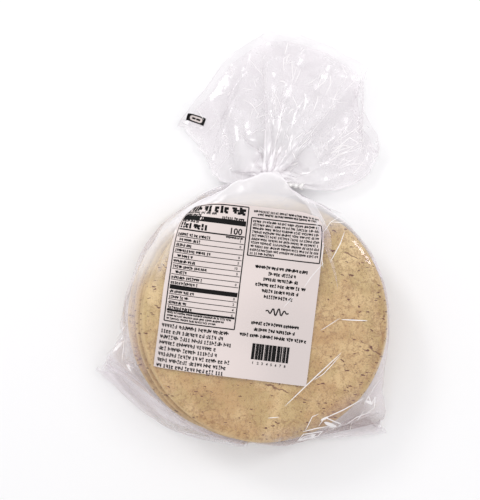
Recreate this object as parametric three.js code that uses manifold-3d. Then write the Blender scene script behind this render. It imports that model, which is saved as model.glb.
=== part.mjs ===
// A bag of pita bread lying on a surface: six flatbreads in a leaning stack, inside a clear
// film bag whose neck is gathered and closed with a twist tie, with the free end fanned out.
// Millimetres, +Z up, +Y towards the bag's mouth. The origin is at the centre of the bottom
// of the whole object's box.
import * as THREE from "three";
import { mergeVertices } from "three/addons/utils/BufferGeometryUtils.js";
import Module from "manifold-3d";

const wasm = await Module();
wasm.setup();

// ---- Driving dimensions ----

const PITA_RADIUS = 100;
const PITA_THICKNESS = 7.6;
const PITA_EDGE = 3.4; // how far the rounded rim reaches in from the outline
const PITA_GAP = 0.3;
const PITA_SEGMENTS = 48;
// How far each pita has slid from the top one, from the bottom of the stack up.
const PITA_SLIDES = [
  [-12, 2],
  [-14, -2],
  [-9, 3],
  [-6, -2],
  [-3, 2],
  [0, 0],
];

const FILM = 0.8; // wall of the film solid; the real film is about 0.04 thick
const PLY_GAP = 0.6; // space between the two plies where they lie together
const STACK_CLEARANCE = 2; // from the top pita to the film over it
const RIM_CLEARANCE = 5.5; // from the rim of the stack to the film round it
const STACK_HEIGHT =
  PITA_SLIDES.length * PITA_THICKNESS + (PITA_SLIDES.length - 1) * PITA_GAP;
const FILM_ROUNDING = 7; // radius with which the film turns over the rim of the stack
const FILM_SKIRT = 12; // how much further off the stack it stands towards the bottom seal
const SKIRT_ROUNDING = 1.4; // how much each millimetre of skirt adds to the rounding

const NECK_RADIUS = 8; // inside the film, at the tie
const NECK_X = -13;
const NECK_Y = 112;
const TIE_WIDTH = 4;
const TIE_THICKNESS = 0.9;
const TIE_GAP = 0.7;
const TIE_TAIL = 22; // length of the twisted ends
const NECK_LIFT = TIE_THICKNESS + TIE_GAP + 0.1; // from the surface to the film under the tie
const NECK_CENTRE_Z = NECK_LIFT + FILM + NECK_RADIUS;

const CREASE_WAVES = 3; // low folds across the free end
const CREASE_HEIGHT = 3;

const ACROSS = 22; // steps across one ply
const ALONG = 4; // steps between two of the stations below

// The bag is drawn as stations from the bottom seal to the mouth. Each one is a curve in plan
// through a left, a middle and a right point. height is the space between the plies where no
// pita holds them apart, round is 1 where the section is a circle and 0 where it is flat,
// lift raises the underside off the surface, and crease is the share of the full fold height.
const STATIONS = [
  { left: [-131, -62], middle: [-6, -107], right: [112, -74] },
  { left: [-129, -57], middle: [-6, -103.5], right: [110, -69] },
  { left: [-125, -47], middle: [-6, -98], right: [107, -57] },
  { left: [-121, -32], middle: [-6, -78], right: [105, -38] },
  { left: [-119, -8], middle: [-6, -35], right: [105.5, -10] },
  { left: [-117, 18], middle: [-6, 12], right: [105.5, 18] },
  { left: [-109, 46], middle: [-8, 52], right: [98.5, 46] },
  { left: [-90, 76], middle: [-10, 84], right: [80, 76] },
  { left: [-64, 96], middle: [-13, 98], right: [45, 96] },
  { left: [-43, 104], middle: [-13, 103], right: [18, 104], height: 40, round: 0.6 },
  {
    left: [NECK_X - NECK_RADIUS, NECK_Y - TIE_WIDTH],
    middle: [NECK_X, NECK_Y - TIE_WIDTH],
    right: [NECK_X + NECK_RADIUS, NECK_Y - TIE_WIDTH],
    height: 2 * NECK_RADIUS,
    round: 1,
    lift: NECK_LIFT,
  },
  {
    left: [NECK_X - NECK_RADIUS, NECK_Y + TIE_WIDTH],
    middle: [NECK_X, NECK_Y + TIE_WIDTH],
    right: [NECK_X + NECK_RADIUS, NECK_Y + TIE_WIDTH],
    height: 2 * NECK_RADIUS,
    round: 1,
    lift: NECK_LIFT,
  },
  { left: [-48, 126], middle: [-14, 140], right: [40, 122], height: 3.5, round: 0.5, lift: 2, crease: 0.6 },
  { left: [-72, 136], middle: [-18, 180], right: [74, 140], height: 2, round: 0.3, lift: 1, crease: 1 },
  { left: [-92, 146], middle: [-30, 226], right: [52, 210], height: 1.6, round: 0.3, crease: 0.8 },
];
const BODY_STATION = { height: PLY_GAP, round: 0, lift: 0, crease: 0 };

// ---- Helpers ----

function toManifold(geometry) {
  const bare = geometry.clone();
  bare.deleteAttribute("normal");
  bare.deleteAttribute("uv");
  const merged = mergeVertices(bare, 1e-4);
  return new wasm.Manifold(
    new wasm.Mesh({
      numProp: 3,
      vertProperties: new Float32Array(merged.attributes.position.array),
      triVerts: new Uint32Array(merged.index.array),
    }),
  );
}

function toGeometry(solid) {
  const mesh = solid.getMesh();
  const geometry = new THREE.BufferGeometry();
  geometry.setAttribute("position", new THREE.BufferAttribute(mesh.vertProperties, 3));
  geometry.setIndex(new THREE.BufferAttribute(mesh.triVerts, 1));
  geometry.computeVertexNormals();
  return geometry;
}

// ---- Pitas ----

// One round flatbread, its flat faces joined by a rounded rim.
function pitaGeometry() {
  const half = PITA_THICKNESS / 2;
  const profile = [new THREE.Vector2(0, 0)];
  const rimSteps = 6;
  for (let i = 0; i <= rimSteps; i++) {
    const angle = -Math.PI / 2 + (Math.PI * i) / rimSteps;
    profile.push(
      new THREE.Vector2(
        PITA_RADIUS - PITA_EDGE * (1 - Math.cos(angle)),
        half + half * Math.sin(angle),
      ),
    );
  }
  profile.push(new THREE.Vector2(0, PITA_THICKNESS));
  const geometry = new THREE.LatheGeometry(profile, PITA_SEGMENTS);
  geometry.rotateX(Math.PI / 2);
  return geometry;
}

// ---- Film bag ----

// The stations as one smooth run of values from the seal to the mouth.
function sampledStations() {
  const full = STATIONS.map((s) => ({ ...BODY_STATION, ...s }));
  const track = (value) => new THREE.CatmullRomCurve3(full.map(value), false, "centripetal");
  const left = track((s) => new THREE.Vector3(...s.left, s.height));
  const middle = track((s) => new THREE.Vector3(...s.middle, s.round));
  const right = track((s) => new THREE.Vector3(...s.right, s.lift));
  const crease = full.map((s) => s.crease);
  const steps = (STATIONS.length - 1) * ALONG;
  return Array.from({ length: steps + 1 }, (_, i) => {
    const t = i / steps;
    const l = left.getPoint(t);
    const m = middle.getPoint(t);
    const r = right.getPoint(t);
    const at = t * (crease.length - 1);
    const low = Math.min(Math.floor(at), crease.length - 2);
    return {
      left: new THREE.Vector2(l.x, l.y),
      middle: new THREE.Vector2(m.x, m.y),
      right: new THREE.Vector2(r.x, r.y),
      height: Math.max(l.z, PLY_GAP),
      round: THREE.MathUtils.clamp(m.z, 0, 1),
      lift: Math.max(r.z, 0),
      crease: THREE.MathUtils.lerp(crease[low], crease[low + 1], at - low),
    };
  });
}

// A point at share s across a station, on the parabola through its three points.
function planPoint(station, s) {
  const { left, middle, right } = station;
  const a = (1 - s) * (1 - 2 * s);
  const b = 4 * s * (1 - s);
  const c = s * (2 * s - 1);
  return new THREE.Vector2(
    a * left.x + b * middle.x + c * right.x,
    a * left.y + b * middle.y + c * right.y,
  );
}

// Height of the film over the stack: level on top, turning down over the rim, and sloping
// more gently to the bottom seal.
function coverHeight(point, grow) {
  const slid = PITA_SLIDES.map(([x]) => x);
  const nearestX = THREE.MathUtils.clamp(point.x, Math.min(...slid), Math.max(...slid));
  const reach = Math.hypot(point.x - nearestX, point.y);
  const skirt = FILM_SKIRT * THREE.MathUtils.clamp(-point.y / PITA_RADIUS, 0, 1);
  const rounding = FILM_ROUNDING + SKIRT_ROUNDING * skirt;
  const wall = PITA_RADIUS + RIM_CLEARANCE + skirt + grow;
  const top = STACK_HEIGHT + STACK_CLEARANCE + FILM + grow;
  const over = Math.max(0, (reach - (wall - rounding)) / rounding);
  return over >= 1 ? 0 : top * Math.cbrt(1 - over ** 3);
}

// The closed solid inside the film (grow 0) or out to its outer face (grow FILM). Flat
// sections keep the same plan points in both, so one always lies inside the other. The inner
// one runs on past the mouth, so that cutting it out leaves the bag open.
function bagSolid(stations, grow, pastMouth) {
  const points = [];
  const shares = Array.from({ length: ACROSS + 1 }, (_, j) => (1 - Math.cos((Math.PI * j) / ACROSS)) / 2);
  const rows = stations.map((station, row) => {
    const away = station.right.clone().sub(station.left).normalize();
    const grown = {
      left: station.left.clone().addScaledVector(away, -grow),
      middle: station.middle,
      right: station.right.clone().addScaledVector(away, grow),
    };
    const forward = row === 0 ? -grow : row === stations.length - 1 ? pastMouth : 0;
    const loop = [];
    const add = (point, z) => {
      points.push(point.x, point.y + forward, z);
      loop.push(points.length / 3 - 1);
    };
    const place = (s) => planPoint(station, s).lerp(planPoint(grown, s), station.round);
    const levels = (s) => {
      const edge = Math.sqrt(1 - (2 * s - 1) ** 2);
      const fold = (1 - Math.cos(2 * Math.PI * CREASE_WAVES * s)) / 2;
      const middle = FILM + station.lift + station.crease * CREASE_HEIGHT * fold + station.height / 2;
      const reach = (station.height / 2 + grow) * (1 - station.round * (1 - edge));
      return { low: middle - reach, middle, high: Math.max(middle + reach, coverHeight(place(s), grow)) };
    };
    const inside = shares.slice(1, -1);
    add(grown.left, levels(0).middle);
    inside.forEach((s) => add(place(s), levels(s).high));
    add(grown.right, levels(1).middle);
    [...inside].reverse().forEach((s) => add(place(s), levels(s).low));
    return loop;
  });
  const size = 2 * ACROSS;
  const faces = [];
  for (let i = 0; i + 1 < rows.length; i++)
    for (let k = 0; k < size; k++) {
      const next = (k + 1) % size;
      faces.push(rows[i][k], rows[i][next], rows[i + 1][next]);
      faces.push(rows[i][k], rows[i + 1][next], rows[i + 1][k]);
    }
  // Each end is closed by a ladder of faces between its two plies.
  const closeEnd = (loop, turned) => {
    for (let k = 0; k < ACROSS; k++) {
      const [a, b] = [loop[k], loop[k + 1]];
      const [c, d] = [loop[size - k - 1], loop[(size - k) % size]];
      const made = [];
      if (k > 0) made.push([a, d, b]);
      if (k < ACROSS - 1) made.push([b, d, c]);
      for (const [p, q, r] of made) faces.push(...(turned ? [p, r, q] : [p, q, r]));
    }
  };
  closeEnd(rows[0], false);
  closeEnd(rows[rows.length - 1], true);
  const geometry = new THREE.BufferGeometry();
  geometry.setAttribute("position", new THREE.Float32BufferAttribute(points, 3));
  geometry.setIndex(faces);
  return toManifold(geometry);
}

function filmGeometry() {
  const stations = sampledStations();
  const pastMouth = 3;
  const outer = bagSolid(stations, FILM, 0);
  const inner = bagSolid(stations, 0, pastMouth);
  return toGeometry(outer.subtract(inner));
}

// ---- Twist tie ----

// A band round the neck, with its two ends twisted together to one side.
function tieGeometry() {
  const inner = NECK_RADIUS + FILM + TIE_GAP;
  const outer = inner + TIE_THICKNESS;
  const half = TIE_WIDTH / 2;
  const profile = [
    new THREE.Vector2(inner, -half),
    new THREE.Vector2(outer, -half),
    new THREE.Vector2(outer, half),
    new THREE.Vector2(inner, half),
    new THREE.Vector2(inner, -half),
  ];
  const band = toManifold(new THREE.LatheGeometry(profile, 40));
  const tail = new THREE.BoxGeometry(TIE_TAIL, TIE_WIDTH, 2 * TIE_THICKNESS, 24, 1, 1);
  const places = tail.getAttribute("position");
  const turns = 2;
  const point = new THREE.Vector3();
  for (let i = 0; i < places.count; i++) {
    point.fromBufferAttribute(places, i);
    const share = point.x / TIE_TAIL + 0.5;
    point.applyAxisAngle(new THREE.Vector3(1, 0, 0), 2 * Math.PI * turns * share);
    places.setXYZ(i, point.x + outer + TIE_TAIL / 2 - TIE_THICKNESS, point.y, point.z);
  }
  return toGeometry(band.add(toManifold(tail)));
}

// ---- Assembly ----

const CRUST = { color: 0xd8bd8b, roughness: 0.9 };
const CLEAR_FILM = { color: 0xeeecef, roughness: 0.15, transparent: true, opacity: 0.3 };
const WHITE_TIE = { color: 0xf4f4f2, roughness: 0.5 };

function named(name, geometry, finish) {
  const mesh = new THREE.Mesh(geometry, new THREE.MeshStandardMaterial(finish));
  mesh.name = name;
  return mesh;
}

const bagOfPita = new THREE.Group();

const firstPitaZ = FILM + 0.4;
PITA_SLIDES.forEach(([x, y], level) => {
  const pita = named(`pita_${level + 1}`, pitaGeometry(), CRUST);
  pita.position.set(x, y, firstPitaZ + level * (PITA_THICKNESS + PITA_GAP));
  bagOfPita.add(pita);
});

bagOfPita.add(named("film_bag", filmGeometry(), CLEAR_FILM));

const tie = named("twist_tie", tieGeometry(), WHITE_TIE);
tie.position.set(NECK_X, NECK_Y, NECK_CENTRE_Z);
bagOfPita.add(tie);

// The row's origin is the centre of the bottom of the box round everything.
bagOfPita.updateMatrixWorld(true);
const box = new THREE.Box3().setFromObject(bagOfPita, true);
const centre = box.getCenter(new THREE.Vector3());
bagOfPita.position.set(-centre.x, -centre.y, -box.min.z);

export default bagOfPita;
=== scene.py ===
# %% [markdown]
# # A bag of pita bread
# Six round flatbreads lie in a leaning stack inside a clear film bag. The bag is sealed across
# the bottom, gathered at the neck and closed with a twist tie, and its free end fans out.
# This lesson loads the plain imported model as a frame, and gives each piece its real surface:
# the breads are modelled, and the film is simulated as cloth from its flat cut size.

# %% The frame
import math

import bpy
import numpy as np
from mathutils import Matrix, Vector
from mathutils.bvhtree import BVHTree


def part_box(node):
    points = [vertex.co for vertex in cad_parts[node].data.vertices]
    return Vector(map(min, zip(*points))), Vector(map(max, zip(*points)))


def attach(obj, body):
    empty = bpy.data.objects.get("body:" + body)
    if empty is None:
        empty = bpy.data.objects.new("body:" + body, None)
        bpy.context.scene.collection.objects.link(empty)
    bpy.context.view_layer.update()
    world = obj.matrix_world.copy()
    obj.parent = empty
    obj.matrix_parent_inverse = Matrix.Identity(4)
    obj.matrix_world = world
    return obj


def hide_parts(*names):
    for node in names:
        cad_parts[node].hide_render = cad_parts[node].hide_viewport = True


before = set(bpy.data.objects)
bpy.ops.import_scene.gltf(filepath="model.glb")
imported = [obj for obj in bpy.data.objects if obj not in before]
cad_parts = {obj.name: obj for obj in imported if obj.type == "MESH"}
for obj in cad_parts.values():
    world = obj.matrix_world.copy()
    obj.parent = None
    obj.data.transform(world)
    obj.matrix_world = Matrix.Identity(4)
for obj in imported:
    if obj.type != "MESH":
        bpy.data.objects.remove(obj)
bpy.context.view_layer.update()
MM = 0.001
PITAS = sorted(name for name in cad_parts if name.startswith("pita_"))
print("pieces in the frame:", sorted(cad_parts))

# %% Places that the other pieces are worked out from
pita_boxes = {name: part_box(name) for name in PITAS}
TOP_PITA = PITAS[-1]
top_low, top_high = pita_boxes[TOP_PITA]
stack_x = (top_low.x + top_high.x) / 2
stack_y = (top_low.y + top_high.y) / 2
stack_top = top_high.z
pita_radius = (top_high.x - top_low.x) / 2
tie_low, tie_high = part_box("twist_tie")
print("centre of the top pita, in mm:", round(stack_x / MM, 1), round(stack_y / MM, 1))


def at_stack(x, y, z=0.0):
    """A point given in millimetres from the top pita's centre, at a height above the floor."""
    return Vector((stack_x + x * MM, stack_y + y * MM, z * MM))


# %% [markdown]
# ## Camera, floor and light
# The bag is seen from straight above, turned a little clockwise in the picture. Clear film is
# seen only by what it reflects. So the room is bright all round and the main light is large and
# soft, which keeps the film pale, and two smaller panels draw crisp lines on its creases.

# %% Camera
LENS = 85.0
SENSOR = 36.0
PICTURE_HEIGHT = 400 * MM
ROLL = math.radians(8)
aim = at_stack(-27.6, 52.7, 48)
camera_data = bpy.data.cameras.new("camera")
camera_data.lens = LENS
camera_data.sensor_width = SENSOR
camera = bpy.data.objects.new("camera", camera_data)
bpy.context.scene.collection.objects.link(camera)
camera.location = aim + Vector((0, 0, PICTURE_HEIGHT * LENS / SENSOR))
camera.rotation_euler = (0, 0, ROLL)
bpy.context.scene.camera = camera
bpy.context.scene.view_settings.view_transform = "Standard"
print("camera height in metres:", round(camera.location.z, 3))

# %% [markdown]
# ## A short way to write a finish
# A material is a tree of nodes, and most of them do sums. `Wire` wraps a node's socket, so that
# sums are written as sums. `Finish` makes a material, and its `node` method adds any other node.


# %% Sums on sockets, and a maker of materials
class Wire:
    """A number that comes out of a node."""

    def __init__(self, tree, socket):
        self.tree = tree
        self.socket = socket

    def _sum(self, operation, first, second=None, third=None):
        maths = self.tree.nodes.new("ShaderNodeMath")
        maths.operation = operation
        for slot, value in enumerate((first, second, third)):
            if isinstance(value, Wire):
                self.tree.links.new(value.socket, maths.inputs[slot])
            elif value is not None:
                maths.inputs[slot].default_value = value
        return Wire(self.tree, maths.outputs[0])

    def __add__(self, other):
        return self._sum("ADD", self, other)

    def __sub__(self, other):
        return self._sum("SUBTRACT", self, other)

    def __rsub__(self, other):
        return self._sum("SUBTRACT", other, self)

    def __mul__(self, other):
        return self._sum("MULTIPLY", self, other)

    __radd__ = __add__
    __rmul__ = __mul__

    def at_most(self, other):
        return self._sum("MINIMUM", self, other)

    def power(self, other):
        return self._sum("POWER", self, other)

    def step(self, start, end):
        """0 up to start, 1 from end, and smooth between; start may be the larger."""
        ramp = self.tree.nodes.new("ShaderNodeMapRange")
        ramp.interpolation_type = "SMOOTHSTEP"
        self.tree.links.new(self.socket, ramp.inputs[0])
        ramp.inputs[1].default_value = start
        ramp.inputs[2].default_value = end
        return Wire(self.tree, ramp.outputs[0])


class Finish:
    """A material under construction."""

    def __init__(self, name):
        self.material = bpy.data.materials.new(name)
        self.material.use_nodes = True
        self.tree = self.material.node_tree
        self.tree.nodes.clear()

    def node(self, kind, settings=None, output=0, **inputs):
        """Adds a node of any type. Settings are set first, then sockets by their names."""
        made = self.tree.nodes.new("ShaderNode" + kind)
        for name, value in (settings or {}).items():
            setattr(made, name, value)
        for name, value in inputs.items():
            label = name.replace("_", " ")
            socket = next(
                s for s in made.inputs if s.enabled and s.name.lower() == label.lower()
            )
            if isinstance(value, Wire):
                self.tree.links.new(value.socket, socket)
            else:
                socket.default_value = value
        return Wire(self.tree, made.outputs[output])

    def blend(self, first, second, share):
        """A colour between two, each a colour or a link."""
        made = self.tree.nodes.new("ShaderNodeMix")
        made.data_type = "RGBA"
        colours = [s for s in made.inputs if s.type == "RGBA"]
        for socket, value in zip([made.inputs[0], *colours], (share, first, second)):
            if isinstance(value, Wire):
                self.tree.links.new(value.socket, socket)
            else:
                socket.default_value = value
        return Wire(self.tree, next(s for s in made.outputs if s.type == "RGBA"))

    def done(self, shader):
        surface = self.tree.nodes.new("ShaderNodeOutputMaterial")
        self.tree.links.new(shader.socket, surface.inputs[0])
        return self.material

    def coat(self, piece, **looks):
        """Ends the tree in a Principled surface and puts the material on a piece."""
        piece.data.materials.append(self.done(self.node("BsdfPrincipled", **looks)))


def sight(red, green, blue):
    """A colour as a screen shows it, from 0 to 255, in the linear values that light uses."""
    linear = []
    for channel in (red, green, blue):
        share = channel / 255
        linear.append(share / 12.92 if share <= 0.04045 else ((share + 0.055) / 1.055) ** 2.4)
    return (*linear, 1.0)


print("a middle grey on a screen, as light:", round(sight(128, 128, 128)[0], 3))

# %% Floor
FLOOR_SIZE = 6.0
FLOOR_DROP = 0.4 * MM
FLOOR_WHITE = (0.965, 0.965, 0.968, 1)
bpy.ops.mesh.primitive_plane_add(size=FLOOR_SIZE, location=(0, 0, -FLOOR_DROP))
floor = bpy.context.active_object
floor.name = "floor"
paper = Finish("pale_floor")
floor.data.materials.append(paper.done(paper.node("BsdfDiffuse", Color=FLOOR_WHITE)))
print("floor:", FLOOR_SIZE, "metres square")


# %% Lights
ROOM_COLOUR = (0.98, 0.97, 0.985, 1)
ROOM_STRENGTH = 0.74


def soft_light(name, place, target, size, power):
    """A square soft light at a place, turned to its target."""
    data = bpy.data.lights.new(name, "AREA")
    data.shape = "RECTANGLE"
    data.size, data.size_y = size
    data.energy = power
    lamp = bpy.data.objects.new(name, data)
    bpy.context.scene.collection.objects.link(lamp)
    lamp.location = place
    lamp.rotation_euler = (target - lamp.location).to_track_quat("-Z", "Y").to_euler()


middle = at_stack(-20, 40, 20)
soft_light("overhead", Vector((0.0, 0.1, 1.7)), middle, (1.6, 1.6), 4.5)
soft_light("window_left", Vector((-0.85, 0.75, 0.95)), middle, (0.36, 0.36), 4)
soft_light("window_right", Vector((0.8, 0.55, 1.1)), middle, (0.16, 0.6), 3)
world = bpy.data.worlds.new("room")
bpy.context.scene.world = world
world.use_nodes = True
room = world.node_tree.nodes["Background"]
room.inputs["Color"].default_value = ROOM_COLOUR
room.inputs["Strength"].default_value = ROOM_STRENGTH

# %% [markdown]
# ## The breads
# A pita is rolled flat and baked hot until it puffs into one hollow pocket, then sinks again.
# What stays is a thin disc with an uneven outline, a seam round its rim, low blisters, and a
# tan crust flecked with bran and toasted where it touched the oven. It could be sculpted, but
# rings of faces inset from a circle give an even net that takes the dents well. All six are
# bent by one shared wave, because breads in a stack settle into each other.


# %% Hand tools
def only(piece):
    """Makes a piece the only selected and active one."""
    bpy.ops.object.select_all(action="DESELECT")
    piece.select_set(True)
    bpy.context.view_layer.objects.active = piece


def in_edit_mode(piece):
    """Opens a piece for editing, with all its faces selected."""
    only(piece)
    bpy.ops.object.mode_set(mode="EDIT")
    bpy.ops.mesh.select_mode(type="FACE")
    bpy.ops.mesh.select_all(action="SELECT")


def out_of_edit_mode():
    bpy.ops.object.mode_set(mode="OBJECT")


def join(piece, others):
    """Joins other pieces into a piece, which keeps its name."""
    only(piece)
    for other in others:
        other.select_set(True)
    bpy.ops.object.join()


def points_of(piece):
    flat = np.zeros(len(piece.data.vertices) * 3)
    piece.data.vertices.foreach_get("co", flat)
    return flat.reshape(-1, 3)


def set_points(piece, points):
    piece.data.vertices.foreach_set("co", np.asarray(points, float).ravel())
    piece.data.update()


def flat_grid(name, columns, rows):
    """A new flat grid, one unit square, and its points."""
    bpy.ops.mesh.primitive_grid_add(x_subdivisions=columns, y_subdivisions=rows, size=1)
    grid = bpy.context.active_object
    grid.name = name
    return grid, points_of(grid)


def hills(x, y, length, seed, layers=3):
    """Smooth random heights from about -1 to 1: waves in random directions, added up."""
    draw = np.random.default_rng(seed)
    total = np.zeros_like(x)
    weight = 0.0
    for layer in range(layers):
        share = 0.5**layer
        for _ in range(7):
            turn, phase = draw.uniform(0, 2 * math.pi, 2)
            pace = 2 * math.pi / length * 2**layer * draw.uniform(0.7, 1.3)
            along = x * math.cos(turn) + y * math.sin(turn)
            total += share * np.sin(pace * along + phase)
        weight += share * math.sqrt(7 / 2)
    return total / weight


print("three random heights:", hills(np.arange(3.0), np.zeros(3), 5, seed=1).round(2))


# %% One bread, from a circle
RIM_POINTS = 200
RINGS = 44
RIM_STEP = 15
CRUST_EDGE = 3.4 * MM
print("rings in a face:", RINGS, "and steps up the rim:", 180 // RIM_STEP)


def flat_bread(name, low, high):
    """A closed disc the size of its box: a net of inset rings, extruded up a rounded rim."""
    radius = (high.x - low.x) / 2
    thickness = high.z - low.z
    centre = ((low.x + high.x) / 2, (low.y + high.y) / 2, low.z)
    bpy.ops.object.select_all(action="DESELECT")
    bpy.ops.mesh.primitive_circle_add(
        vertices=RIM_POINTS, radius=radius - CRUST_EDGE, fill_type="NGON", location=centre
    )
    bread = bpy.context.active_object
    bread.name = name
    in_edit_mode(bread)
    for _ in range(RINGS):
        bpy.ops.mesh.inset(thickness=(radius - CRUST_EDGE) / (RINGS + 0.7))
    bpy.ops.mesh.poke()
    bpy.ops.mesh.select_all(action="SELECT")
    turns = [math.radians(angle) for angle in range(-90, 91, RIM_STEP)]
    for before, after in zip(turns, turns[1:]):
        old, new = (radius - CRUST_EDGE * (1 - math.cos(turn)) for turn in (before, after))
        rise = (math.sin(after) - math.sin(before)) * thickness / 2
        bpy.ops.mesh.extrude_region_move(TRANSFORM_OT_translate={"value": (0, 0, rise)})
        bpy.ops.transform.resize(value=(new / old, new / old, 1), center_override=centre)
    bpy.ops.mesh.select_all(action="SELECT")
    bpy.ops.mesh.normals_make_consistent(inside=False)
    out_of_edit_mode()
    only(bread)
    bpy.ops.object.transform_apply(location=True, rotation=True, scale=True)
    return bread


# %% Its dents, its seam and its uneven outline
RIM_THINNING = 0.32
RIM_WIDTH = 17 * MM
SEAM_DEPTH = 0.9 * MM
SETTLING = 1.1 * MM
BLISTERS = 0.45 * MM
FOLD_INSET = 10 * MM
FOLD_DEPTH = 1.1 * MM


def weather_bread(bread, low, high, seed):
    """Thins the rim, pinches the seam, roughens the outline, and dents the two faces."""
    points = points_of(bread)
    middle = np.array([(low.x + high.x) / 2, (low.y + high.y) / 2, (low.z + high.z) / 2])
    away = points - middle
    radius = (high.x - low.x) / 2
    reach = np.hypot(away[:, 0], away[:, 1])
    turn = np.arctan2(away[:, 1], away[:, 0])
    edge = np.clip((reach - (radius - RIM_WIDTH)) / RIM_WIDTH, 0, 1) ** 2
    away[:, 2] *= 1 - RIM_THINNING * edge
    on_seam = np.exp(-((away[:, 2] / (0.9 * MM)) ** 2)) * (reach > radius - 1.2 * MM)
    draw = np.random.default_rng(seed)
    wobble = np.zeros_like(turn)
    for waves in (2, 3, 5, 8, 13):
        wobble += draw.uniform(0.2, 0.7) / math.sqrt(waves) * np.sin(
            waves * turn + draw.uniform(0, 2 * math.pi)
        )
    shrink = 1 - (1.1 * MM - 0.8 * MM * wobble + SEAM_DEPTH * on_seam) / radius * edge
    away[:, :2] *= shrink[:, None]
    height = (away[:, 2] > 0) * 2 - 1
    blister = hills(points[:, 0] + seed, points[:, 1], 26 * MM, seed, layers=2)
    away[:, 2] += height * BLISTERS * (np.abs(blister) - 0.75) * (1 - edge)
    wander = 3 * MM * hills(points[:, 0], points[:, 1], 60 * MM, seed + 40, layers=2)
    groove = np.exp(-(((reach - radius + FOLD_INSET + wander) / (2.6 * MM)) ** 2))
    groove *= np.exp(-(((np.abs(turn) - math.pi) / 0.75) ** 2)) * (height > 0)
    away[:, 2] -= FOLD_DEPTH * groove
    points = away + middle
    share = np.clip((middle[2] - 4 * MM) / stack_top, 0, 1)
    points[:, 2] += SETTLING * share * hills(points[:, 0], points[:, 1], 140 * MM, 5, layers=1)
    set_points(bread, points)


first_low, first_high = pita_boxes[PITAS[0]]
plain = flat_bread("plain_bread", first_low, first_high)
breads = []
for number, name in enumerate(PITAS):
    low, high = pita_boxes[name]
    bread = plain.copy()
    bread.data = plain.data.copy()
    bread.name = name.replace("pita", "bread")
    bpy.context.scene.collection.objects.link(bread)
    set_points(bread, points_of(bread) + np.array(low - first_low))
    weather_bread(bread, low, high, seed=21 + number)
    only(bread)
    bpy.ops.object.shade_smooth()
    breads.append(bread)
    print(bread.name, "faces:", len(bread.data.polygons))
bpy.data.objects.remove(plain)


# %% [markdown]
# ## The crust
# The crust is matt and dry. Its tan is mottled at several sizes at once. It is paler where a
# blister rose and towards two of its sides, and browner towards the rim. Its very edge is paler
# again, partly the pale rim a pita really has and partly painted light that lifts the shaded
# sides of the rim. It is dotted with dark bran, in flecks that are longer than they are wide,
# and has fine cracks.

# %% Crust
CRUST_TAN = sight(198, 161, 107)
CRUST_PALE = sight(232, 206, 152)
CRUST_BROWN = sight(142, 98, 54)
CRUST_GREEN = sight(184, 160, 100)
BRAN = sight(98, 44, 0)
CRACKS = (
    (5, -50, 29, -55), (29, -55, 46, -59), (52, 63, 70, 57), (70, -2, 84, -8), (83, -8, 98, -17),
)
# Scale, turn, size and share of each layer of bran.
FLECKS = ((105, 0.15, 0.17, 0.55), (150, -0.6, 0.21, 0.545), (130, 0.9, 0.17, 0.55))
print("cracks:", len(CRACKS), "and layers of bran:", len(FLECKS))


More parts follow.
